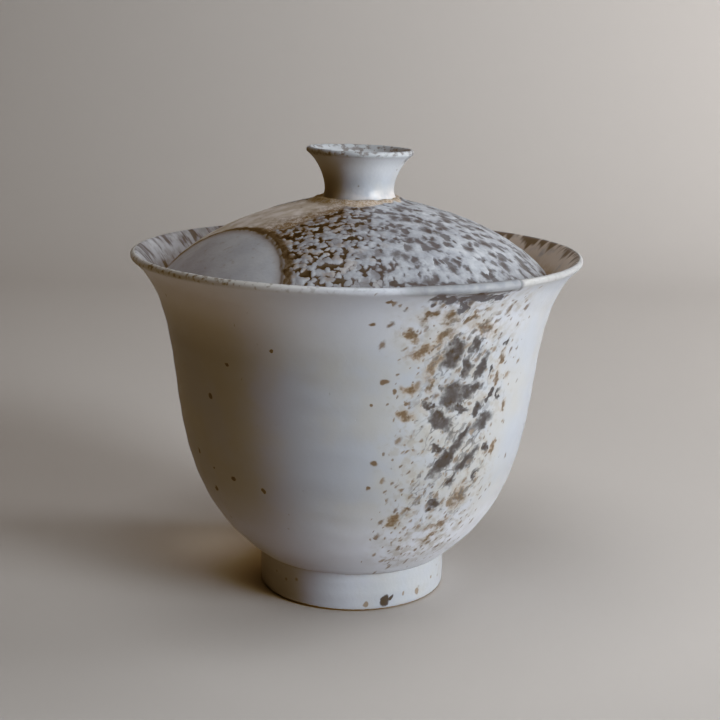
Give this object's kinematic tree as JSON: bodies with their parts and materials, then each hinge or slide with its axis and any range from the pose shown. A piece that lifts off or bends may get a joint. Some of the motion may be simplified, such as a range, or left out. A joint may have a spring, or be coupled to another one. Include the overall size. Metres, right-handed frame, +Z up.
{
  "type": "gaiwan",
  "caption": "Flared tea bowl on a turned foot ring, with a domed drop-in lid and a trumpet-shaped hollow knob, in mottled ash glaze.",
  "frame": {"origin": "centre of the foot ring on the surface it stands on", "axes": "+Z up along the axis of the bowl and lid; -Y towards the side with the smooth disc on the lid and the speckled band on the body"},
  "size_m": [0.09, 0.09, 0.0902],
  "materials": {
    "bowl": "satin to glossy ash glaze, iron-speckled",
    "foot_ring": "satin ash glaze",
    "lid": "curdled white over iron-black, satin",
    "lid_knob": "glossy ash glaze"
  },
  "bodies": {
    "bowl": {"bowl": "bowl", "foot_ring": "foot_ring"},
    "lid": {"lid": "lid", "lid_knob": "lid_knob"}
  },
  "joints": [
    {"name": "lid_lift", "type": "slide", "parent": "bowl", "child": "lid", "axis": [0, 0, 1], "range_m": [0, 0.08]}
  ]
}
